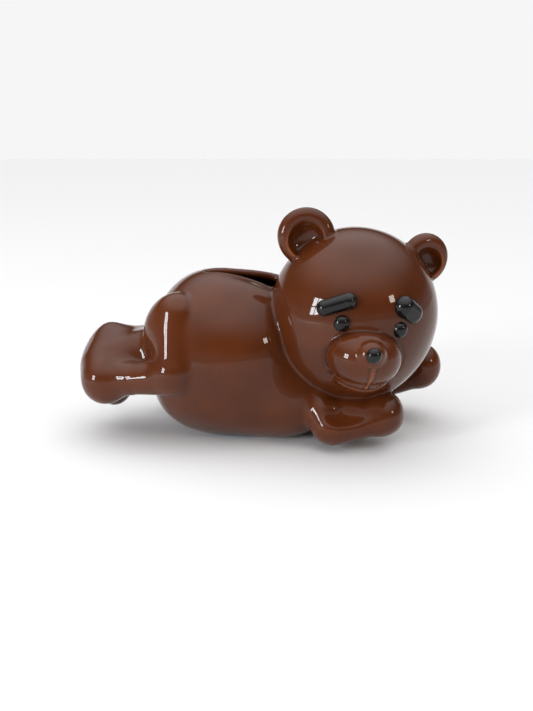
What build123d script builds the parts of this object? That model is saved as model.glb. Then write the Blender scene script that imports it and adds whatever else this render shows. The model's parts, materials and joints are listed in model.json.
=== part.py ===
from build123d import *

import math
import os

# Reclining teddy bear coin bank in glazed earthenware, with a push-in rubber stopper.
#
# Frame: +Z up, the bear lies along X with its head at +X, and its face looks towards -Y.
# The origin is at the bottom centre of the whole object, and the flat base stands on Z = 0.
# Left and right are the bear's own, as it lies on its front: its right side is the -Y side.
# Units are millimetres.

# ---------------------------------------------------------------- driving dimensions
WALL = 3.8  # slip-cast wall thickness everywhere
BASE_Z = 0.0  # the flat, unglazed base
KEEP_SIZE = 300.0  # larger than the whole bank

BELLY_AT = (-20.0, 13.0, 42.0)
BELLY_HALF_LENGTH = 41.0
BELLY_RADIUS = 45.5
BELLY_CORNER = 31.0
BELLY_TILT = math.radians(9.0)  # rump up

CHEST_AT = (12.5, 22.5, 38.0)
CHEST_RADIUS = 32.0
CHEST_HALF_HEIGHT = 41.5
CHEST_CORNER = 25.0

HEAD_AT = (45.8, 2.0, 65.7)
HEAD_HALF_DEPTH = 41.0
HEAD_RADIUS = 44.4
HEAD_CORNER = 40.0
FACE_YAW = math.radians(6.8)  # the face turns from -Y towards +X
HEAD_ROLL = math.radians(9.0)  # the crown leans towards +X

# places on the face are (right, up, forward) of the head's centre
MUZZLE_AT = (-0.2, -10.8, 36.0)
MUZZLE_HALF_SPAN = 3.4  # from the middle to each cheek pad's centre
MUZZLE_RADIUS = 15.2
LIP_AT = (-0.4, -18.8, 33.0)
LIP_RADIUS = 12.6
NOSE_PAD_AT = (-1.9, -8.0, 50.0)
NOSE_PAD_RADIUS = 6.7

EAR_HALF_THICKNESS = 5.2
EAR_CORNER = 4.8
EAR_DISH_RADIUS = 12.0
EAR_DISH_DEPTH = 4.4
RIGHT_EAR_AT = (20.5, -4.0, 107.1)
RIGHT_EAR_FACES = (0.0, -1.0, 0.05)
RIGHT_EAR_RADIUS = 14.6
LEFT_EAR_AT = (82.1, 4.0, 94.7)
LEFT_EAR_FACES = (0.35, -1.0, 0.0)
LEFT_EAR_RADIUS = 13.2

NECK_FROM = (10.0, 14.0, 50.0)
NECK_TO = (48.0, 6.0, 56.0)
NECK_HOLE_RADIUS = 14.0

RIGHT_HIP_AT = (-44.4, -11.0, 70.5)
RIGHT_KNEE_AT = (-46.4, -21.0, 39.5)
RIGHT_THIGH_RADII = (12.5, 12.2)
RIGHT_SHIN_FROM = (-47.4, -20.6, 37.6)
RIGHT_SHIN_TO = (-68.0, -14.0, 35.4)
RIGHT_SHIN_RADII = (10.0, 8.4)
RIGHT_FOOT_AT = (-84.2, -7.0, 33.0)
RIGHT_FOOT_RADIUS = 12.3

LEFT_HIP_AT = (-43.0, 43.0, 60.5)
LEFT_KNEE_AT = (-47.0, 46.0, 38.5)
LEFT_THIGH_RADII = (12.0, 12.4)
LEFT_SHIN_FROM = (-50.0, 38.0, 42.0)
LEFT_SHIN_TO = (-72.0, 20.0, 39.5)
LEFT_SHIN_RADIUS = 13.0
LEFT_HEEL_AT = (-84.4, 18.0, 24.5)
LEFT_TOES_AT = (-84.4, 18.0, 44.5)
LEFT_FOOT_RADII = (14.2, 14.0)

RIGHT_SHOULDER_AT = (23.6, -9.0, 26.5)
RIGHT_ELBOW_AT = (34.1, -23.0, 13.2)
RIGHT_UPPER_ARM_RADII = (10.6, 10.5)
RIGHT_FOREARM_FROM = (35.6, -22.6, 13.6)
RIGHT_WRIST_AT = (54.6, -20.0, 16.6)
RIGHT_FOREARM_RADII = (10.2, 9.3)
RIGHT_PAW_AT = (61.0, -18.0, 18.0)
RIGHT_PAW_RADIUS = 11.2

LEFT_SHOULDER_AT = (40.6, 41.0, 26.5)
LEFT_ELBOW_AT = (66.6, 41.6, 17.5)
LEFT_UPPER_ARM_RADII = (11.0, 10.2)
LEFT_FOREARM_FROM = (66.0, 40.6, 17.0)
LEFT_WRIST_AT = (84.6, 31.0, 24.5)
LEFT_FOREARM_RADII = (10.0, 9.0)
LEFT_PAW_LOW = (89.6, 28.0, 27.4)
LEFT_PAW_HIGH = (89.9, 28.0, 32.6)
LEFT_PAW_RADII = (9.6, 9.5)

VENT_RADIUS = 2.5  # lets the hollow legs breathe in the kiln
VENT_START = (-40.0, 20.0, 40.0)
VENT_ENDS = [(-46.0, -18.0, 46.0), (-66.0, 22.0, 42.0)]  # right leg, left leg

SLOT_LEFT_AT = (-29.3, 10.5)
SLOT_LEFT_RADIUS = 2.5
SLOT_RIGHT_AT = (2.0, 12.0)
SLOT_RIGHT_RADIUS = 4.6
SLOT_CUT_LOW = 60.0
SLOT_CUT_HEIGHT = 50.0

NOSE_AT = (49.3, -53.0, 58.3)
NOSE_RADIUS = 3.6
RIGHT_EYE_AT = (36.2, -38.3, 70.7)
LEFT_EYE_AT = (64.0, -35.3, 67.1)
EYE_RADIUS = 3.9
RIGHT_BROW_OUTER = (28.1, -36.2, 77.3)
RIGHT_BROW_INNER = (39.2, -37.6, 80.9)
RIGHT_BROW_RADII = (3.5, 3.8)
LEFT_BROW_INNER = (66.2, -32.0, 77.7)
LEFT_BROW_OUTER = (71.2, -28.8, 73.1)
LEFT_BROW_RADII = (4.9, 4.7)

STOPPER_AT = (-16.0, 13.0)
STOPPER_HOLE_RADIUS = 16.0
RECESS_RADIUS = 20.5
RECESS_DEPTH = 4.0
SEAT_THICKNESS = 4.2
SEAT_RIM = 4.0  # how far the thickened seat runs past the recess
SEAT_TOP = RECESS_DEPTH + SEAT_THICKNESS

STOPPER_CLEARANCE = 0.08
STOPPER_FLANGE_RADIUS = 19.6
STOPPER_FLANGE_THICKNESS = 2.0
STOPPER_BODY_RADIUS = 15.5
STOPPER_ABOVE_SEAT = 2.6
STOPPER_RIB_WIDTH = 1.2
STOPPER_LEAD_IN = 0.8
STOPPER_EDGE_RADIUS = 0.6
STOPPER_DISH_RADIUS = 12.0
STOPPER_DISH_DEPTH = 3.6
STOPPER_GRIP_WIDTH = 3.0
STOPPER_RIB_HEIGHTS = (0.6, 2.5)  # above the shoulder that the flange rests on
FLANGE_LOW = RECESS_DEPTH - STOPPER_FLANGE_THICKNESS
BODY_TOP = SEAT_TOP + STOPPER_ABOVE_SEAT
RIB_RADIUS = STOPPER_HOLE_RADIUS - STOPPER_CLEARANCE


# ---------------------------------------------------------------- shape helpers
def unit(direction):
    return Vector(*direction).normalized()


def head_directions():
    """The face's own right (towards +X), forward and up directions."""
    yaw, roll = FACE_YAW, HEAD_ROLL
    forward = Vector(math.sin(yaw), -math.cos(yaw), 0)
    level = Vector(math.cos(yaw), math.sin(yaw), 0)
    up = Vector(0, 0, 1) * math.cos(roll) + level * math.sin(roll)
    right = level * math.cos(roll) - Vector(0, 0, 1) * math.sin(roll)
    return right, forward, up


FACE_RIGHT, FACE_FORWARD, FACE_UP = head_directions()


def profile_plane(centre, direction):
    """A plane through centre whose own X runs along direction."""
    along = unit(direction)
    helper = Vector(0, 1, 0) if abs(along.Y) < 0.9 else Vector(0, 0, 1)
    return Plane(origin=centre, x_dir=along, z_dir=along.cross(helper))


def drum(centre, direction, half_length, radius, corner, mode=Mode.ADD):
    """Turn a round slab about direction, with a large rounding on both of its edges."""
    inner_length, inner_radius = half_length - corner, radius - corner
    bulge = corner * math.sqrt(0.5)
    with BuildSketch(profile_plane(centre, direction)) as profile:
        with BuildLine():
            Line((half_length, 0), (half_length, inner_radius))
            ThreePointArc(
                (half_length, inner_radius),
                (inner_length + bulge, inner_radius + bulge),
                (inner_length, radius),
            )
            Line((inner_length, radius), (-inner_length, radius))
            ThreePointArc(
                (-inner_length, radius),
                (-inner_length - bulge, inner_radius + bulge),
                (-half_length, inner_radius),
            )
            Line((-half_length, inner_radius), (-half_length, 0))
            Line((-half_length, 0), (half_length, 0))
        make_face()
    revolve(profile.sketch, axis=Axis(centre, unit(direction)), mode=mode)


def ball(centre, radius, mode=Mode.ADD):
    with BuildSketch(Plane(origin=centre, x_dir=(1, 0, 0), z_dir=(0, 0, 1))) as profile:
        with BuildLine():
            ThreePointArc((0, -radius), (radius, 0), (0, radius))
            Line((0, radius), (0, -radius))
        make_face()
    revolve(profile.sketch, axis=Axis(centre, (0, 1, 0)), mode=mode)


def capsule(start, end, start_radius, end_radius, mode=Mode.ADD):
    """Turn two balls and their common tangent cone as one solid."""
    direction = Vector(*end) - Vector(*start)
    reach = direction.length
    lean = math.acos((start_radius - end_radius) / reach)
    first = (start_radius * math.cos(lean), start_radius * math.sin(lean))
    last = (reach + end_radius * math.cos(lean), end_radius * math.sin(lean))
    behind = (math.pi + lean) / 2
    over_start = (start_radius * math.cos(behind), start_radius * math.sin(behind))
    over_end = (reach + end_radius * math.cos(lean / 2), end_radius * math.sin(lean / 2))
    with BuildSketch(profile_plane(start, direction)) as profile:
        with BuildLine():
            ThreePointArc((-start_radius, 0), over_start, first)
            Line(first, last)
            ThreePointArc(last, over_end, (reach + end_radius, 0))
            Line((reach + end_radius, 0), (-start_radius, 0))
        make_face()
    revolve(profile.sketch, axis=Axis(start, unit(direction)), mode=mode)


def keep_above(height):
    """Cut the active part off flat at this height."""
    with BuildSketch(Plane.XY.offset(height)) as ground:
        Rectangle(KEEP_SIZE, KEEP_SIZE)
    extrude(ground.sketch, amount=KEEP_SIZE, mode=Mode.INTERSECT)


def face_point(right, up, forward):
    """A place on the face, measured from the head's centre along its own directions."""
    return Vector(*HEAD_AT) + FACE_RIGHT * right + FACE_UP * up + FACE_FORWARD * forward


def belly(inset=0.0, mode=Mode.ADD):
    along = (math.cos(BELLY_TILT), 0, -math.sin(BELLY_TILT))
    drum(BELLY_AT, along, BELLY_HALF_LENGTH - inset, BELLY_RADIUS - inset, BELLY_CORNER - inset, mode)


def chest(inset=0.0, mode=Mode.ADD):
    drum(CHEST_AT, (0, 0, 1), CHEST_HALF_HEIGHT - inset, CHEST_RADIUS - inset, CHEST_CORNER - inset, mode)


def skull(inset=0.0, mode=Mode.ADD):
    size = (HEAD_HALF_DEPTH - inset, HEAD_RADIUS - inset, HEAD_CORNER - inset)
    drum(HEAD_AT, FACE_FORWARD, *size, mode)


def muzzle(inset=0.0, mode=Mode.ADD):
    across = FACE_RIGHT * MUZZLE_HALF_SPAN
    middle = face_point(*MUZZLE_AT)
    capsule(middle - across, middle + across, MUZZLE_RADIUS - inset, MUZZLE_RADIUS - inset, mode)


def stopper_disc(radius, low, high, mode=Mode.ADD):
    """A round slab on the stopper's own upright axis."""
    with BuildSketch(Plane.XY.offset(low)) as slab:
        with Locations(STOPPER_AT):
            Circle(radius)
    extrude(slab.sketch, amount=high - low, mode=mode)


# ---------------------------------------------------------------- outer masses, used to trim neighbours
with BuildPart() as torso_mass:
    belly()
    chest()
    keep_above(BASE_Z)

with BuildPart() as head_mass:
    skull()
    muzzle()
    ball(face_point(*LIP_AT), LIP_RADIUS)
    ball(face_point(*NOSE_PAD_AT), NOSE_PAD_RADIUS)

# ---------------------------------------------------------------- torso
with BuildPart() as coin_cavity:
    belly(WALL)
    chest(WALL)
    keep_above(BASE_Z + WALL)
    stopper_disc(RECESS_RADIUS + SEAT_RIM, BASE_Z, SEAT_TOP, mode=Mode.SUBTRACT)

with BuildPart() as torso_shell:
    add(torso_mass.part)
    add(coin_cavity.part, mode=Mode.SUBTRACT)
    with BuildSketch(Plane.XY.offset(SLOT_CUT_LOW)):
        with Locations(SLOT_LEFT_AT):
            Circle(SLOT_LEFT_RADIUS)
        with Locations(SLOT_RIGHT_AT):
            Circle(SLOT_RIGHT_RADIUS)
        make_hull()
    extrude(amount=SLOT_CUT_HEIGHT, mode=Mode.SUBTRACT)
    stopper_disc(RECESS_RADIUS, BASE_Z, RECESS_DEPTH, mode=Mode.SUBTRACT)
    stopper_disc(STOPPER_HOLE_RADIUS, BASE_Z, SEAT_TOP, mode=Mode.SUBTRACT)
    capsule(NECK_FROM, NECK_TO, NECK_HOLE_RADIUS, NECK_HOLE_RADIUS, mode=Mode.SUBTRACT)
    for vent_end in VENT_ENDS:
        capsule(VENT_START, vent_end, VENT_RADIUS, VENT_RADIUS, mode=Mode.SUBTRACT)
torso_shell.part.label = "torso_shell"

# ---------------------------------------------------------------- head
with BuildPart() as head_shell:
    add(head_mass.part)
    add(torso_mass.part, mode=Mode.SUBTRACT)
    skull(WALL, mode=Mode.SUBTRACT)
    muzzle(WALL, mode=Mode.SUBTRACT)
head_shell.part.label = "head_shell"


# ---------------------------------------------------------------- ears
def ear(centre, direction, radius):
    """A thick round disc with a dished front, cut where it meets the head."""
    dish_offset = EAR_HALF_THICKNESS + EAR_DISH_RADIUS - EAR_DISH_DEPTH
    drum(centre, direction, EAR_HALF_THICKNESS, radius, EAR_CORNER)
    ball(Vector(*centre) + unit(direction) * dish_offset, EAR_DISH_RADIUS, mode=Mode.SUBTRACT)
    add(head_mass.part, mode=Mode.SUBTRACT)


with BuildPart() as right_ear:
    ear(RIGHT_EAR_AT, RIGHT_EAR_FACES, RIGHT_EAR_RADIUS)
right_ear.part.label = "right_ear"

with BuildPart() as left_ear:
    ear(LEFT_EAR_AT, LEFT_EAR_FACES, LEFT_EAR_RADIUS)
left_ear.part.label = "left_ear"


# ---------------------------------------------------------------- limbs
def limb(start, end, radii, inset, mode):
    capsule(start, end, radii[0] - inset, radii[1] - inset, mode)


def right_leg_form(inset=0.0, mode=Mode.ADD):
    limb(RIGHT_HIP_AT, RIGHT_KNEE_AT, RIGHT_THIGH_RADII, inset, mode)
    limb(RIGHT_SHIN_FROM, RIGHT_SHIN_TO, RIGHT_SHIN_RADII, inset, mode)
    ball(RIGHT_FOOT_AT, RIGHT_FOOT_RADIUS - inset, mode)


def left_leg_form(inset=0.0, mode=Mode.ADD):
    limb(LEFT_HIP_AT, LEFT_KNEE_AT, LEFT_THIGH_RADII, inset, mode)
    limb(LEFT_SHIN_FROM, LEFT_SHIN_TO, (LEFT_SHIN_RADIUS, LEFT_SHIN_RADIUS), inset, mode)
    limb(LEFT_HEEL_AT, LEFT_TOES_AT, LEFT_FOOT_RADII, inset, mode)


with BuildPart() as right_leg_mass:
    right_leg_form()

with BuildPart() as right_leg:
    right_leg_form()
    add(torso_mass.part, mode=Mode.SUBTRACT)
    right_leg_form(WALL, mode=Mode.SUBTRACT)
right_leg.part.label = "right_leg"

with BuildPart() as left_leg:
    left_leg_form()
    add(torso_mass.part, mode=Mode.SUBTRACT)
    add(right_leg_mass.part, mode=Mode.SUBTRACT)
    left_leg_form(WALL, mode=Mode.SUBTRACT)
left_leg.part.label = "left_leg"

with BuildPart() as right_arm:
    limb(RIGHT_SHOULDER_AT, RIGHT_ELBOW_AT, RIGHT_UPPER_ARM_RADII, 0.0, Mode.ADD)
    limb(RIGHT_FOREARM_FROM, RIGHT_WRIST_AT, RIGHT_FOREARM_RADII, 0.0, Mode.ADD)
    ball(RIGHT_PAW_AT, RIGHT_PAW_RADIUS)
    add(torso_mass.part, mode=Mode.SUBTRACT)
    add(head_mass.part, mode=Mode.SUBTRACT)
right_arm.part.label = "right_arm"

with BuildPart() as left_arm:
    limb(LEFT_SHOULDER_AT, LEFT_ELBOW_AT, LEFT_UPPER_ARM_RADII, 0.0, Mode.ADD)
    limb(LEFT_FOREARM_FROM, LEFT_WRIST_AT, LEFT_FOREARM_RADII, 0.0, Mode.ADD)
    limb(LEFT_PAW_LOW, LEFT_PAW_HIGH, LEFT_PAW_RADII, 0.0, Mode.ADD)
    add(torso_mass.part, mode=Mode.SUBTRACT)
    add(head_mass.part, mode=Mode.SUBTRACT)
left_arm.part.label = "left_arm"

# ---------------------------------------------------------------- black enamelled features
with BuildPart() as nose_tip:
    ball(NOSE_AT, NOSE_RADIUS)
    add(head_mass.part, mode=Mode.SUBTRACT)
nose_tip.part.label = "nose_tip"

with BuildPart() as right_eye:
    ball(RIGHT_EYE_AT, EYE_RADIUS)
    add(head_mass.part, mode=Mode.SUBTRACT)
right_eye.part.label = "right_eye"

with BuildPart() as left_eye:
    ball(LEFT_EYE_AT, EYE_RADIUS)
    add(head_mass.part, mode=Mode.SUBTRACT)
left_eye.part.label = "left_eye"

with BuildPart() as right_brow:
    capsule(RIGHT_BROW_OUTER, RIGHT_BROW_INNER, *RIGHT_BROW_RADII)
    add(head_mass.part, mode=Mode.SUBTRACT)
right_brow.part.label = "right_brow"

with BuildPart() as left_brow:
    capsule(LEFT_BROW_INNER, LEFT_BROW_OUTER, *LEFT_BROW_RADII)
    add(head_mass.part, mode=Mode.SUBTRACT)
left_brow.part.label = "left_brow"

# ---------------------------------------------------------------- stopper
with BuildPart() as stopper:
    stopper_disc(STOPPER_FLANGE_RADIUS, FLANGE_LOW, RECESS_DEPTH)
    stopper_disc(STOPPER_BODY_RADIUS, RECESS_DEPTH, BODY_TOP)
    for rib_height in STOPPER_RIB_HEIGHTS:
        rib_low = RECESS_DEPTH + rib_height
        stopper_disc(RIB_RADIUS, rib_low, rib_low + STOPPER_RIB_WIDTH)
    chamfer(stopper.faces().sort_by(Axis.Z)[-1].edges(), STOPPER_LEAD_IN)
    fillet(stopper.faces().sort_by(Axis.Z)[0].outer_wire().edges(), STOPPER_EDGE_RADIUS)
    with BuildSketch(Plane.XY.offset(FLANGE_LOW)):
        with Locations(STOPPER_AT):
            Circle(STOPPER_DISH_RADIUS)
            Rectangle(STOPPER_GRIP_WIDTH, STOPPER_DISH_RADIUS * 2, mode=Mode.SUBTRACT)
    extrude(amount=STOPPER_DISH_DEPTH, mode=Mode.SUBTRACT)
stopper.part.label = "stopper"

# ---------------------------------------------------------------- export
os.makedirs("parts", exist_ok=True)
export_step(torso_shell.part, "parts/torso_shell.step")
export_step(head_shell.part, "parts/head_shell.step")
export_step(right_ear.part, "parts/right_ear.step")
export_step(left_ear.part, "parts/left_ear.step")
export_step(right_leg.part, "parts/right_leg.step")
export_step(left_leg.part, "parts/left_leg.step")
export_step(right_arm.part, "parts/right_arm.step")
export_step(left_arm.part, "parts/left_arm.step")
export_step(nose_tip.part, "parts/nose_tip.step")
export_step(right_eye.part, "parts/right_eye.step")
export_step(left_eye.part, "parts/left_eye.step")
export_step(right_brow.part, "parts/right_brow.step")
export_step(left_brow.part, "parts/left_brow.step")
export_step(stopper.part, "parts/stopper.step")
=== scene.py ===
import json
import math

import bpy
import numpy as np
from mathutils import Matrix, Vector


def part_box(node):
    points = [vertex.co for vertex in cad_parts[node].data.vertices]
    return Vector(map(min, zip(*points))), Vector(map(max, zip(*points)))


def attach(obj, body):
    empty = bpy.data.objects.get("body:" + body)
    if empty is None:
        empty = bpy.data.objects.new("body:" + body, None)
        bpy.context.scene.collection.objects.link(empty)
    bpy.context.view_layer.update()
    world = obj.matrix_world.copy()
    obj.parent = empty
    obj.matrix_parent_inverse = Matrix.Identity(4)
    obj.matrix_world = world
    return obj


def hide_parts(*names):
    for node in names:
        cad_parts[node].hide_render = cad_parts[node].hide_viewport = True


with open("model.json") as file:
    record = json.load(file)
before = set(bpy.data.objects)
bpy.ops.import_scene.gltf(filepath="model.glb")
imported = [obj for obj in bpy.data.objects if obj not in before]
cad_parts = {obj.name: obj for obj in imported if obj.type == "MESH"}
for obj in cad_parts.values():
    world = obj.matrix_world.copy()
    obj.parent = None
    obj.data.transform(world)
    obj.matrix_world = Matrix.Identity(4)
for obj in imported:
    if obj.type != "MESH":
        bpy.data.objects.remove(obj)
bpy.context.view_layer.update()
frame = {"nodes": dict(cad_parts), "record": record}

# The glazed bear is modelled as one continuous skin, given as a signed distance in millimetres
# in the CAD's own frame. Each sub-part is the stretch of that skin that belongs to it, closed
# behind, so that the glaze runs over the joins unbroken. Left and right are the bear's own.

MM = 0.001
WALL = 3.8
JOIN_BAND = 0.45  # how far neighbouring pieces run under each other
JOIN_SINK = 0.04  # how deep the hidden edge lies
JOIN_ROUNDING = 0.3
CAVITY_ROUNDING = 0.8
SLOT_ROUNDING = 2.6  # the glazed lips of the coin slot
RECESS_ROUNDING = 0.7
HOLE_ROUNDING = 0.5
ON_SKIN = 0.12  # points this near the skin take their normals from it
SAME_WAY = 0.7  # unless the piece's own surface turns away by more than this cosine

# linear colours
GLAZE_DEEP, GLAZE_WARM = (0.074, 0.0148, 0.0014), (0.096, 0.0196, 0.0020)
GLAZE_THIN, GLAZE_POOLED = (0.250, 0.062, 0.0080), (0.055, 0.012, 0.0026)
GLAZE_SPECK = (0.030, 0.008, 0.003)
BARE_CLAY = (0.42, 0.30, 0.21)
ENAMEL_BLACK, ENAMEL_BROWN = (0.0025, 0.0021, 0.0020), (0.0070, 0.0048, 0.0035)
RUBBER_DARK, RUBBER_PALE = (0.020, 0.018, 0.016), (0.040, 0.036, 0.032)
PAPER = (0.84, 0.84, 0.84, 1.0)
ROOM_DARK, CEILING_PALE = (0.040, 0.034, 0.029), (1.95, 1.95, 1.97)
WALL_BEHIND, WALL_FOOT = (0.92, 0.92, 0.92), (0.42, 0.42, 0.42)
WINDOW_COLOUR, LAMP_COLOUR = (0.90, 0.95, 1.0), (1.0, 0.94, 0.86)


# ---------------------------------------------------------------- distance helpers
def unit(v):
    v = np.asarray(v, float)
    return v / np.linalg.norm(v)


def turned(forward, roll=0.0):
    """Rows right, forward and up of something that faces forward, rolled clockwise as it is seen."""
    forward = unit(forward)
    right = unit(np.cross((0, 0, 1), forward))
    up = np.cross(forward, right)
    roll = math.radians(roll)
    return np.stack([
        right * math.cos(roll) - up * math.sin(roll),
        forward,
        up * math.cos(roll) + right * math.sin(roll),
    ]).astype(np.float32)


LEVEL = np.eye(3, dtype=np.float32)


def length(v):
    return np.sqrt(np.einsum("...i,...i->...", v, v))


def local(p, centre, axes=LEVEL):
    return (p - np.asarray(centre, np.float32)) @ axes.T


def ellipsoid(p, centre, radii, axes=LEVEL):
    q = local(p, centre, axes)
    radii = np.asarray(radii, np.float32)
    near = length(q / radii)
    return near * (near - 1) / np.maximum(length(q / radii ** 2), 1e-6)


def superellipsoid(p, centre, radii, power, axes=LEVEL):
    """Turned about its own X; a power over 2 makes it boxier than an ellipsoid."""
    q = local(p, centre, axes)
    a, b, c = radii
    x = np.abs(q[..., 0]) / a
    rho = np.sqrt((q[..., 1] / b) ** 2 + (q[..., 2] / c) ** 2)
    g = (x ** power + rho ** power + 1e-9) ** (1 / power)
    slope_x = (x / g) ** (power - 1) / a
    spread = np.sqrt((q[..., 1] / b ** 2) ** 2 + (q[..., 2] / c ** 2) ** 2) / np.maximum(rho, 1e-6)
    slope_r = (rho / g) ** (power - 1) * spread
    return (g - 1) / np.sqrt(slope_x ** 2 + slope_r ** 2 + 1e-9)


def capsule(p, start, end, start_radius, end_radius):
    """Two balls and the cone that touches both."""
    start, end = np.asarray(start, np.float32), np.asarray(end, np.float32)
    axis = end - start
    reach = float(np.linalg.norm(axis))
    q = p - start
    along = q @ (axis / reach)
    out = np.sqrt(np.maximum(np.einsum("...i,...i->...", q, q) - along ** 2, 0))
    lean = (start_radius - end_radius) / reach
    side = math.sqrt(1 - lean * lean)
    foot = along * side - out * lean
    cone = out * side + along * lean - start_radius
    near_start = np.hypot(along, out) - start_radius
    near_end = np.hypot(along - reach, out) - end_radius
    return np.where(foot < 0, near_start, np.where(foot > reach * side, near_end, cone))


def ring(p, centre, axes, radius, thickness):
    q = local(p, centre, axes)
    return np.hypot(np.hypot(q[..., 0], q[..., 2]) - radius, q[..., 1]) - thickness


def upright_disc(p, centre, radius, low, high):
    out = np.hypot(p[..., 0] - centre[0], p[..., 1] - centre[1]) - radius
    return np.maximum(out, np.maximum(low - p[..., 2], p[..., 2] - high))


def blend(a, b, k):
    """Smooth union: the two run together over a fillet of about k."""
    h = np.maximum(k - np.abs(a - b), 0) / k
    return np.minimum(a, b) - h * h * k / 4


def cut(a, b, k):
    """Smooth intersection, with an edge rounded over about k."""
    return -blend(-a, -b, k)


def step(x, low, high):
    t = np.clip((x - low) / (high - low), 0, 1)
    return t * t * (3 - 2 * t)


def from_line(x, y, points):
    """Distance in a plane from a line of straight runs."""
    best = np.full(x.shape, 1e3, np.float32)
    for (ax, ay), (bx, by) in zip(points, points[1:]):
        dx, dy = bx - ax, by - ay
        t = np.clip(((x - ax) * dx + (y - ay) * dy) / (dx * dx + dy * dy), 0, 1)
        best = np.minimum(best, np.hypot(x - ax - t * dx, y - ay - t * dy))
    return best


# ---------------------------------------------------------------- the bear's masses
HEAD_AT = (45.2, 2.0, 65.7)
FACE = turned((0.12, -1.0, 0.0), roll=9)
BELLY_TILT = math.radians(7)
BELLY = np.array([
    [math.cos(BELLY_TILT), 0, -math.sin(BELLY_TILT)],
    [0, 1, 0],
    [math.sin(BELLY_TILT), 0, math.cos(BELLY_TILT)],
], np.float32)
RIGHT_EAR_AT, RIGHT_EAR = (19.9, -4.0, 107.1), turned((0.0, -1.0, 0.05))
LEFT_EAR_AT, LEFT_EAR = (81.5, 4.0, 94.7), turned((0.35, -1.0, 0.0))


def torso_mass(p):
    belly = superellipsoid(p, (-21.5, 13.0, 42.3), (41.0, 43.0, 45.4), 2.45, BELLY)
    chest = superellipsoid(p, (14.0, 23.0, 38.6), (43.0, 32.0, 41.8), 2.6)
    breast = ellipsoid(p, (9.0, 6.0, 25.0), (33.0, 32.0, 26.5))
    return cut(blend(blend(belly, chest, 14.0), breast, 10.0), -p[..., 2], 2.0)


def head_mass(p):
    skull = ellipsoid(p, HEAD_AT, (43.7, 41.0, 45.6), FACE)
    cheeks = ellipsoid(p, (47.0, -34.4, 53.8), (18.6, 17.6, 14.4), FACE)
    lip = ellipsoid(p, (46.2, -31.0, 45.6), (14.5, 14.0, 11.5), FACE)
    pad = ellipsoid(p, (48.6, -48.0, 57.7), (7.2, 6.2, 6.7), FACE)
    muzzle = blend(cheeks, lip, 1.0)
    return blend(blend(skull, muzzle, 1.8), pad, 1.2)


def ear_mass(p, centre, axes, radius, rim, web):
    """A round rim with a web behind it, and a bowl pressed into the front, low down."""
    inner = radius - rim * 0.7
    back = np.asarray(centre) - axes[1] * 1.8
    low_front = np.asarray(centre) + axes[1] * 4.2 - axes[2] * radius * 0.14
    bowl = ellipsoid(p, low_front, (radius * 0.60, 6.4, radius * 0.58), axes)
    behind = ellipsoid(p, back, (inner, web, inner), axes)
    disc = blend(ring(p, centre, axes, radius - rim, rim), behind, 2.6)
    return cut(disc, -bowl, 1.2)


def right_arm_mass(p):
    upper = capsule(p, (23.0, -11.0, 26.5), (33.0, -23.0, 13.8), 10.5, 10.4)
    fore = capsule(p, (35.0, -23.0, 13.3), (54.0, -20.0, 16.5), 10.0, 9.3)
    paw = ellipsoid(p, (60.5, -18.0, 18.0), (10.2, 12.0, 11.5))
    web = ellipsoid(p, (40.0, -11.0, 20.5), (20.0, 14.0, 10.0))
    dish = ellipsoid(p, (42.0, -35.5, 24.3), (18.0, 10.0, 8.6))
    return cut(blend(blend(blend(upper, fore, 1.2), paw, 5.0), web, 3.0), -dish, 3.0)


def left_arm_mass(p):
    upper = capsule(p, (40.0, 41.0, 26.5), (66.0, 41.0, 18.5), 11.0, 10.0)
    fore = capsule(p, (66.0, 41.0, 16.5), (84.0, 31.0, 24.5), 10.0, 9.0)
    paw = ellipsoid(p, (89.3, 28.0, 30.0), (9.3, 10.0, 12.3))
    return blend(blend(upper, fore, 3.0), paw, 5.0)


def right_leg_mass(p):
    thigh = capsule(p, (-45.3, -9.5, 67.6), (-45.6, -19.4, 41.8), 12.0, 11.4)
    haunch = ellipsoid(p, (-50.0, -5.0, 57.0), (13.6, 14.0, 18.0))
    shin = capsule(p, (-48.5, -20.0, 38.8), (-68.0, -13.5, 35.4), 9.7, 8.4)
    foot = ellipsoid(p, (-84.2, -7.0, 32.8), (12.4, 12.5, 12.8))
    return blend(blend(blend(thigh, haunch, 5.0), shin, 5.0), foot, 10.0)


def left_leg_mass(p):
    thigh = capsule(p, (-43.0, 42.0, 60.5), (-47.0, 45.0, 38.5), 12.0, 12.4)
    shin = capsule(p, (-48.0, 26.0, 42.5), (-72.0, 19.0, 41.0), 14.0, 13.6)
    web = capsule(p, (-52.0, 4.0, 46.5), (-84.0, 7.0, 38.5), 14.0, 12.6)
    foot = ellipsoid(p, (-85.0, 18.0, 34.0), (13.6, 13.0, 23.7))
    bridge = capsule(p, (-85.2, 1.0, 36.0), (-85.2, 14.0, 39.0), 12.9, 13.0)
    return blend(blend(blend(thigh, shin, 8.0), web, 8.0), blend(foot, bridge, 6.0), 8.0)


MASSES = {
    "torso_shell": torso_mass,
    "head_shell": head_mass,
    "right_ear": lambda p: ear_mass(p, RIGHT_EAR_AT, RIGHT_EAR, 14.6, 4.4, 3.6),
    "left_ear": lambda p: ear_mass(p, LEFT_EAR_AT, LEFT_EAR, 13.0, 4.1, 3.4),
    "right_arm": right_arm_mass,
    "left_arm": left_arm_mass,
    "right_leg": right_leg_mass,
    "left_leg": left_leg_mass,
}
FILLETS = {
    "head_shell": 2.5,
    "right_ear": 2.0,
    "left_ear": 2.0,
    "right_arm": 3.0,
    "left_arm": 3.0,
    "right_leg": 2.2,
    "left_leg": 4.0,
}


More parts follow.
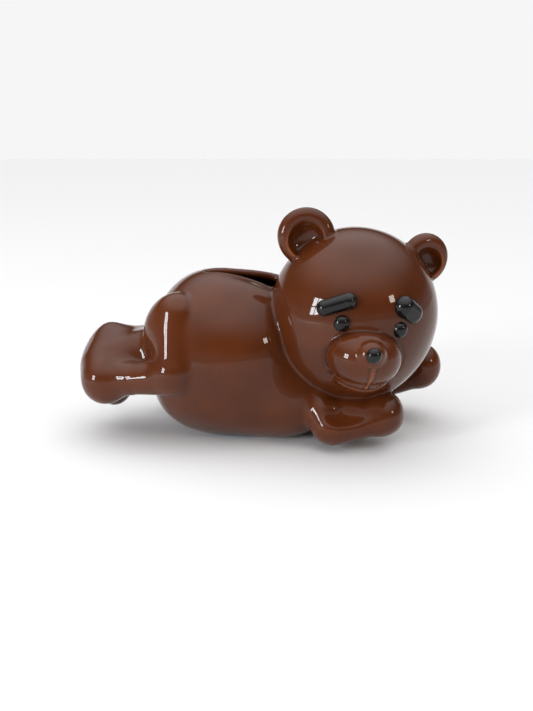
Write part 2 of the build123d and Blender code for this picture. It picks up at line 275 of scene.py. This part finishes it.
# ---------------------------------------------------------------- modelling pressed into the face
MOUTH = [(-15.0, -23.8), (-12.5, -25.4), (-7.5, -26.6), (-0.5, -27.0), (6.0, -26.2), (11.5, -23.2)]
PHILTRUM = [[(-1.9, -13.5), (-0.2, -26.8)], [(1.8, -13.5), (2.4, -26.8)]]
LIP_RIDGE = [(0.0, -14.0), (1.1, -25.8)]
MUZZLE_RIM = [(19.6 * math.cos(a), -13.4 + 14.6 * math.sin(a)) for a in np.radians(range(-30, 211, 10))]


def face_lines(p):
    """How deep the lines of the mouth, lip and muzzle are pressed; the ridge of the lip stands up."""
    q = local(p, HEAD_AT, FACE)
    x, y = q[..., 0], q[..., 2]
    front = step(q[..., 1], 22.0, 30.0)
    mouth = 0.6 * np.exp(-((from_line(x, y, MOUTH) / 0.7) ** 2))
    lip = sum(0.34 * np.exp(-((from_line(x, y, line) / 0.55) ** 2)) for line in PHILTRUM)
    ridge = 0.35 * np.exp(-((from_line(x, y, LIP_RIDGE) / 0.9) ** 2))
    rim = 0.4 * np.exp(-((from_line(x, y, MUZZLE_RIM) / 1.0) ** 2))
    return front * (mouth + lip + rim - ridge)


# ---------------------------------------------------------------- skin, cavity and openings
STOPPER_AT = (-16.0, 13.0)
STOPPER_HOLE_RADIUS = 16.0
RECESS_RADIUS, RECESS_DEPTH = 20.5, 4.0
SEAT_RADIUS, SEAT_TOP = 24.5, 8.2
SLOT_LEFT, SLOT_LEFT_RADIUS = (-29.3, 10.5), 2.5
SLOT_RIGHT, SLOT_RIGHT_RADIUS = (2.0, 13.0), 5.7
SLOT_FLOOR = 60.0
BELOW_BASE, HOLE_TOP = -5.0, 14.0


def all_masses(p):
    return {name: mass(p) for name, mass in MASSES.items()}


def slot_dip(p):
    """The back sags on the face's side of the coin slot, most of all towards the neck."""
    across = np.exp(-(((p[..., 0] - 3.0) / 17.0) ** 2) - ((p[..., 1] - 4.5) / 5.5) ** 2)
    return 2.6 * across * step(p[..., 2], 66.0, 78.0)


def hand_marks(p):
    """Slow unevenness of clay smoothed by hand, under a quarter of a millimetre."""
    x, y, z = p[..., 0], p[..., 1], p[..., 2]
    long_way = np.sin(0.12 * x + 0.09 * z + 1.3) * np.sin(0.11 * y - 0.14 * z + 0.4)
    short_way = np.sin(0.19 * x - 0.10 * z + 0.7) * np.sin(0.21 * z + 0.13 * y + 2.1)
    return (0.16 * long_way + 0.05 * short_way) * step(z, 4.0, 14.0)


def skin(p, found=None):
    """The whole glazed surface."""
    found = found or all_masses(p)
    joined = found["torso_shell"] + slot_dip(p)
    for name, fillet in FILLETS.items():
        joined = blend(joined, found[name], fillet)
    return joined + face_lines(p) + hand_marks(p)


def slot(p):
    flat = np.stack([p[..., 0], p[..., 1], np.zeros_like(p[..., 0])], -1)
    wedge = capsule(flat, (*SLOT_LEFT, 0), (*SLOT_RIGHT, 0), SLOT_LEFT_RADIUS, SLOT_RIGHT_RADIUS)
    return np.maximum(wedge, SLOT_FLOOR - p[..., 2])


def cavity(p, found):
    """The hollow that the poured-off slip leaves, inside the torso and head."""
    hollow = blend(found["torso_shell"], found["head_shell"], 2.5) + WALL
    return cut(hollow, -upright_disc(p, STOPPER_AT, SEAT_RADIUS, -1.0, SEAT_TOP), 1.5)


def piece_field(name):
    """The closed distance field of one piece of the skin."""
    def field(p):
        found = all_masses(p)
        others = [value for other, value in found.items() if other != name]
        border = (found[name] - np.minimum.reduce(others)) * 0.5 - JOIN_BAND
        solid = cut(skin(p, found) + JOIN_SINK * step(border, -1.2, 0.0), border, JOIN_ROUNDING)
        if name in ("torso_shell", "head_shell"):
            solid = cut(solid, -cavity(p, found), CAVITY_ROUNDING)
        if name == "torso_shell":
            recess = upright_disc(p, STOPPER_AT, RECESS_RADIUS, BELOW_BASE, RECESS_DEPTH)
            hole = upright_disc(p, STOPPER_AT, STOPPER_HOLE_RADIUS, BELOW_BASE, HOLE_TOP)
            solid = cut(solid, -slot(p), SLOT_ROUNDING)
            solid = cut(solid, -recess, RECESS_ROUNDING)
            solid = cut(solid, -hole, HOLE_ROUNDING)
        return solid
    return field


# ---------------------------------------------------------------- meshing
def sampled(field, points, chunk=400_000):
    """field at many points, a block at a time to save memory."""
    flat = points.reshape(-1, 3)
    parts = [field(flat[i:i + chunk].astype(np.float32)) for i in range(0, len(flat), chunk)]
    return np.concatenate(parts).reshape(points.shape[:-1]).astype(np.float64)


def slope(field, points, reach=0.05):
    """The field's gradient, by differences over reach."""
    columns = []
    for axis in range(3):
        offset = np.zeros(3)
        offset[axis] = reach
        columns.append((sampled(field, points + offset) - sampled(field, points - offset)) / (2 * reach))
    return np.stack(columns, -1)


def grid_lines(low, high, coarse, fine=None, fine_from=None, fine_to=None):
    """Grid positions from low to high, closer together between fine_from and fine_to."""
    if fine is None:
        return np.linspace(low, high, int(math.ceil((high - low) / coarse)) + 1)
    spans = [(low, fine_from, coarse), (fine_from, fine_to, fine), (fine_to, high, coarse)]
    lines = [np.array([low])]
    for start, end, size in spans:
        start, end = max(start, low), min(end, high)
        if end > start:
            count = max(int(math.ceil((end - start) / size)), 1)
            lines.append(np.linspace(start, end, count + 1)[1:])
    return np.concatenate(lines)


def net(field, lines):
    """Surface net of field = 0 over a box grid: (points, quads), facing outwards."""
    points = np.stack(np.meshgrid(*lines, indexing="ij"), -1)
    value = sampled(field, points)
    shape = np.array(value.shape)
    cells = tuple(shape - 1)
    owners, places, quads = [], [], []
    for axis in range(3):
        u, w = (axis + 1) % 3, (axis + 2) % 3
        low = [slice(None)] * 3
        high = [slice(None)] * 3
        low[axis], high[axis] = slice(0, -1), slice(1, None)
        before, after = value[tuple(low)], value[tuple(high)]
        at = np.argwhere((before < 0) != (after < 0))
        clear = (at[:, u] > 0) & (at[:, u] < shape[u] - 1) & (at[:, w] > 0) & (at[:, w] < shape[w] - 1)
        at = at[clear]
        first, last = before[tuple(at.T)], after[tuple(at.T)]
        place = np.stack([lines[k][at[:, k]] for k in range(3)], -1)
        gap = lines[axis][at[:, axis] + 1] - lines[axis][at[:, axis]]
        place[:, axis] += gap * first / (first - last)
        corners = []
        for du, dw in ((0, 0), (1, 0), (1, 1), (0, 1)):
            cell = at.copy()
            cell[:, u] -= du
            cell[:, w] -= dw
            corners.append(np.ravel_multi_index(cell.T, cells))
            owners.append(corners[-1])
            places.append(place)
        quad = np.stack(corners, 1)
        quads.append(np.where((first < 0)[:, None], quad, quad[:, ::-1]))
    owners, places, quads = np.concatenate(owners), np.concatenate(places), np.concatenate(quads)
    used, order = np.unique(owners, return_inverse=True)
    count = np.bincount(order)
    vertices = np.stack([np.bincount(order, places[:, k]) / count for k in range(3)], -1)
    return vertices, np.searchsorted(used, quads)


def settle(points, field, limit, rounds=3):
    """Move points onto field = 0, by no more than limit each round."""
    for _ in range(rounds):
        grade = slope(field, points)
        move = -sampled(field, points)[:, None] * grade / np.maximum((grade ** 2).sum(1), 0.2)[:, None]
        far = np.linalg.norm(move, axis=1, keepdims=True)
        points = points + move * np.minimum(1, limit / np.maximum(far, 1e-9))
    return points


def bend(field, points, reach=1.1):
    """Surface bend: positive on ridges, negative in creases, about 2 / radius on a ball."""
    total = -6 * sampled(field, points)
    for axis in range(3):
        offset = np.zeros(3)
        offset[axis] = reach
        total += sampled(field, points + offset) + sampled(field, points - offset)
    return total / reach ** 2


def make_piece(name, field, lines, shade=None):
    """A mesh object of field = 0 in metres. Its normals follow shade where the two agree."""
    size = float(np.median(np.diff(lines[0])))
    vertices, quads = net(field, lines)
    vertices = settle(vertices, field, size * 0.5)
    normals = slope(field, vertices)
    shade = shade or field
    on_skin = np.abs(sampled(shade, vertices)) < ON_SKIN
    smooth = slope(shade, vertices)
    agree = (normals * smooth).sum(1) > SAME_WAY
    normals[on_skin & agree] = smooth[on_skin & agree]
    normals /= np.maximum(np.linalg.norm(normals, axis=1, keepdims=True), 1e-9)
    mesh = bpy.data.meshes.new(name)
    mesh.from_pydata((vertices * MM).tolist(), [], quads.tolist())
    mesh.shade_smooth()
    mesh.normals_split_custom_set_from_vertices(normals.tolist())
    curve = mesh.attributes.new("bend", "FLOAT", "POINT")
    curve.data.foreach_set("value", bend(shade, vertices).astype(np.float32))
    piece = bpy.data.objects.new(name, mesh)
    bpy.context.scene.collection.objects.link(piece)
    return piece


def body_with(node):
    for body, nodes in frame["record"]["behaviour"]["bodies"].items():
        if node in nodes:
            return body
    raise KeyError(node)


def slot_of(node):
    for part in frame["record"]["subparts"]:
        if part["node"] == node:
            return part["material_slot"]
    raise KeyError(node)


def stand_for(piece, node, material):
    """Put the piece in the place of a CAD node, with this material."""
    piece.data.materials.append(material)
    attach(piece, body_with(node))
    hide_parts(node)
    slot_of(node)


# ---------------------------------------------------------------- materials
def new_material(name):
    material = bpy.data.materials.new(name)
    material.use_nodes = True
    nodes = material.node_tree.nodes
    return material, nodes, material.node_tree.links, nodes["Principled BSDF"]


def noise(nodes, links, scale, detail=3.0):
    place = nodes.new("ShaderNodeTexCoord")
    texture = nodes.new("ShaderNodeTexNoise")
    texture.inputs["Scale"].default_value = scale
    texture.inputs["Detail"].default_value = detail
    links.new(place.outputs["Object"], texture.inputs["Vector"])
    return texture.outputs["Fac"]


def ramp(nodes, links, value, low, high):
    """0 to 1 as value goes from low to high, eased at both ends."""
    node = nodes.new("ShaderNodeMapRange")
    node.interpolation_type = "SMOOTHSTEP"
    node.inputs["From Min"].default_value = low
    node.inputs["From Max"].default_value = high
    links.new(value, node.inputs["Value"])
    return node.outputs["Result"]


def mix(nodes, links, factor, first, second):
    node = nodes.new("ShaderNodeMix")
    node.data_type = "RGBA"
    links.new(factor, node.inputs["Factor"])
    for colour, socket in ((first, node.inputs["A"]), (second, node.inputs["B"])):
        if isinstance(colour, tuple):
            socket.default_value = (*colour, 1.0)
        else:
            links.new(colour, socket)
    return node.outputs["Result"]


def glaze_material():
    """Clear brown glaze: deeper where it pools in creases, amber where it thins over ridges,
    with a few iron specks, and left off the base that the bank stands on."""
    material, nodes, links, shader = new_material("brown_glaze")
    curve = nodes.new("ShaderNodeAttribute")
    curve.attribute_name = "bend"
    cloud = ramp(nodes, links, noise(nodes, links, 34.0), 0.35, 0.68)
    colour = mix(nodes, links, cloud, GLAZE_DEEP, GLAZE_WARM)
    thin = ramp(nodes, links, curve.outputs["Fac"], 0.26, 0.95)
    colour = mix(nodes, links, thin, colour, GLAZE_THIN)
    pooled = ramp(nodes, links, curve.outputs["Fac"], -0.10, -0.60)
    colour = mix(nodes, links, pooled, colour, GLAZE_POOLED)
    specks = nodes.new("ShaderNodeTexVoronoi")
    specks.inputs["Scale"].default_value = 70.0
    place = nodes.new("ShaderNodeTexCoord")
    links.new(place.outputs["Object"], specks.inputs["Vector"])
    speck = ramp(nodes, links, specks.outputs["Distance"], 0.035, 0.022)
    colour = mix(nodes, links, speck, colour, GLAZE_SPECK)
    height = nodes.new("ShaderNodeSeparateXYZ")
    links.new(place.outputs["Object"], height.inputs["Vector"])
    glazed = ramp(nodes, links, height.outputs["Z"], 0.0006, 0.0012)
    colour = mix(nodes, links, glazed, BARE_CLAY, colour)
    links.new(colour, shader.inputs["Base Color"])
    shader.inputs["Roughness"].default_value = 0.6
    shader.inputs["Specular IOR Level"].default_value = 0.1
    links.new(glazed, shader.inputs["Coat Weight"])
    shader.inputs["Coat Roughness"].default_value = 0.03
    shader.inputs["Coat IOR"].default_value = 1.33
    ripple = nodes.new("ShaderNodeBump")
    ripple.inputs["Strength"].default_value = 0.35
    ripple.inputs["Distance"].default_value = 0.0010
    links.new(noise(nodes, links, 26.0, detail=1.0), ripple.inputs["Height"])
    links.new(ripple.outputs["Normal"], shader.inputs["Coat Normal"])
    links.new(ripple.outputs["Normal"], shader.inputs["Normal"])
    return material


def enamel_material():
    """Glossy black enamel with a faint brown bloom."""
    material, nodes, links, shader = new_material("black_enamel")
    cloud = ramp(nodes, links, noise(nodes, links, 320.0), 0.4, 0.75)
    colour = mix(nodes, links, cloud, ENAMEL_BLACK, ENAMEL_BROWN)
    links.new(colour, shader.inputs["Base Color"])
    shader.inputs["Roughness"].default_value = 0.5
    shader.inputs["Specular IOR Level"].default_value = 0.1
    shader.inputs["Coat Weight"].default_value = 1.0
    shader.inputs["Coat IOR"].default_value = 1.36
    shader.inputs["Coat Roughness"].default_value = 0.03
    return material


def rubber_material():
    material, nodes, links, shader = new_material("stopper_rubber")
    grain = noise(nodes, links, 900.0)
    colour = mix(nodes, links, grain, RUBBER_DARK, RUBBER_PALE)
    links.new(colour, shader.inputs["Base Color"])
    shader.inputs["Roughness"].default_value = 0.62
    bump = nodes.new("ShaderNodeBump")
    bump.inputs["Strength"].default_value = 0.25
    bump.inputs["Distance"].default_value = 0.0002
    links.new(grain, bump.inputs["Height"])
    links.new(bump.outputs["Normal"], shader.inputs["Normal"])
    return material


# ---------------------------------------------------------------- pieces
def build_castings(material):
    fine_face = {"x": (0.5, 22.0, 80.0), "y": (0.5, -60.0, -22.0), "z": (0.5, 32.0, 88.0)}
    boxes = {
        "torso_shell": ((-66, -36, -3), (62, 62, 92), 0.9, None),
        "head_shell": ((-4, -60, 16), (94, 48, 114), 1.0, fine_face),
        "right_ear": ((2, -14, 88), (38, 8, 124), 0.5, None),
        "left_ear": ((64, -10, 78), (98, 16, 111), 0.5, None),
        "right_arm": ((8, -38, -2), (75, 10, 42), 0.7, None),
        "left_arm": ((26, 12, -2), (102, 56, 46), 0.8, None),
        "right_leg": ((-100, -38, 12), (-30, 12, 86), 0.7, None),
        "left_leg": ((-102, -16, 6), (-28, 62, 76), 0.8, None),
    }
    for name, (low, high, coarse, fine) in boxes.items():
        if fine:
            lines = [grid_lines(low[k], high[k], coarse, *fine["xyz"[k]]) for k in range(3)]
        else:
            lines = [grid_lines(low[k], high[k], coarse) for k in range(3)]
        piece = make_piece(name + "_skin", piece_field(name), lines, shade=skin)
        stand_for(piece, name, material)


BEADS = {
    "nose_tip": lambda p: ellipsoid(p, (49.4, -53.1, 58.8), (3.8, 3.1, 3.8), FACE),
    "right_eye": lambda p: ellipsoid(p, (35.6, -38.5, 70.6), (3.9, 3.0, 4.1), FACE),
    "left_eye": lambda p: ellipsoid(p, (63.9, -34.6, 66.5), (3.7, 3.0, 4.0), FACE),
    "right_brow": lambda p: capsule(p, (27.5, -35.0, 77.3), (38.7, -36.6, 81.0), 3.9, 4.1),
    "left_brow": lambda p: capsule(p, (65.8, -32.0, 77.2), (70.0, -29.2, 73.6), 5.5, 5.3),
}


def build_beads(material):
    """Black enamel over raised clay: each bead stands on the skin and dips just under it."""
    for name, bead in BEADS.items():
        low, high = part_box(name)
        low = np.array(low) / MM - 4.0
        high = np.array(high) / MM + 4.0
        lines = [grid_lines(low[k], high[k], 0.3) for k in range(3)]

        def field(p, bead=bead):
            return cut(bead(p), -(skin(p) + 1.2), 0.6)

        piece = make_piece(name + "_enamel", field, lines)
        stand_for(piece, name, material)


def dress_stopper(material):
    """The CAD's own stopper is kept, and only takes a material."""
    stopper = frame["nodes"]["stopper"]
    stopper.data.materials.clear()
    stopper.data.materials.append(material)


build_castings(glaze_material())
build_beads(enamel_material())
dress_stopper(rubber_material())


# ---------------------------------------------------------------- floor, light and camera
def build_floor():
    bpy.ops.mesh.primitive_plane_add(size=8.0, location=(0.0, 0.0, -0.0002))
    floor = bpy.context.object
    floor.name = "studio_floor"
    material, _, _, shader = new_material("white_paper")
    shader.inputs["Base Color"].default_value = PAPER
    shader.inputs["Roughness"].default_value = 0.9
    floor.data.materials.append(material)


def area_light(name, place, target, size, power, colour):
    data = bpy.data.lights.new(name, "AREA")
    data.shape = "RECTANGLE"
    data.size, data.size_y = size
    data.energy = power
    data.color = colour
    lamp = bpy.data.objects.new(name, data)
    lamp.location = place
    lamp.rotation_euler = (Vector(target) - Vector(place)).to_track_quat("-Z", "Y").to_euler()
    bpy.context.scene.collection.objects.link(lamp)


def build_world():
    """A dim room in front, pale walls behind and a soft ceiling."""
    world = bpy.data.worlds.new("studio")
    world.use_nodes = True
    nodes, links = world.node_tree.nodes, world.node_tree.links
    way = nodes.new("ShaderNodeTexCoord")
    parts = nodes.new("ShaderNodeSeparateXYZ")
    links.new(way.outputs["Generated"], parts.inputs["Vector"])
    overhead = ramp(nodes, links, parts.outputs["Z"], 0.36, 0.98)
    colour = mix(nodes, links, overhead, ROOM_DARK, CEILING_PALE)
    low = ramp(nodes, links, parts.outputs["Z"], 0.30, 0.18)
    pale = mix(nodes, links, low, colour, WALL_BEHIND)
    skirting = ramp(nodes, links, parts.outputs["Z"], 0.24, 0.04)
    colour = mix(nodes, links, skirting, colour, WALL_FOOT)
    behind = ramp(nodes, links, parts.outputs["Y"], 0.55, 0.80)
    colour = mix(nodes, links, behind, colour, pale)
    links.new(colour, nodes["Background"].inputs["Color"])
    bpy.context.scene.world = world


def build_light():
    """A window of four panes low on the left, and a weak lamp on the right."""
    bpy.context.scene.view_settings.view_transform = "Standard"
    centre = Vector((0.0, 0.0, 0.05))
    window_at = Vector((-1.04, -0.78, 0.38))
    pane_size, pane_power = (0.125, 0.185), 2.6
    off_middle = (0.075, 0.105)
    facing = (centre - window_at).normalized()
    across = facing.cross(Vector((0, 0, 1))).normalized()
    upward = across.cross(facing)
    for column in (-1, 1):
        for row in (-1, 1):
            place = window_at + across * column * off_middle[0] + upward * row * off_middle[1]
            area_light("window_pane", place, place + facing, pane_size, pane_power, WINDOW_COLOUR)
    area_light("lamp", (0.95, -0.75, 0.55), centre, (0.16, 0.16), 1.6, LAMP_COLOUR)


def build_camera():
    """Looks along +Y from 16 degrees above the horizon."""
    data = bpy.data.cameras.new("camera")
    data.lens = 40.1
    data.clip_start = 0.01
    camera = bpy.data.objects.new("camera", data)
    target = Vector((0.0, 0.011, 0.0407))
    distance, elevation = 0.430, math.radians(16)
    camera.location = target + distance * Vector((0.0, -math.cos(elevation), math.sin(elevation)))
    camera.rotation_euler = (target - camera.location).to_track_quat("-Z", "Y").to_euler()
    bpy.context.scene.collection.objects.link(camera)
    bpy.context.scene.camera = camera


build_floor()
build_world()
build_light()
build_camera()
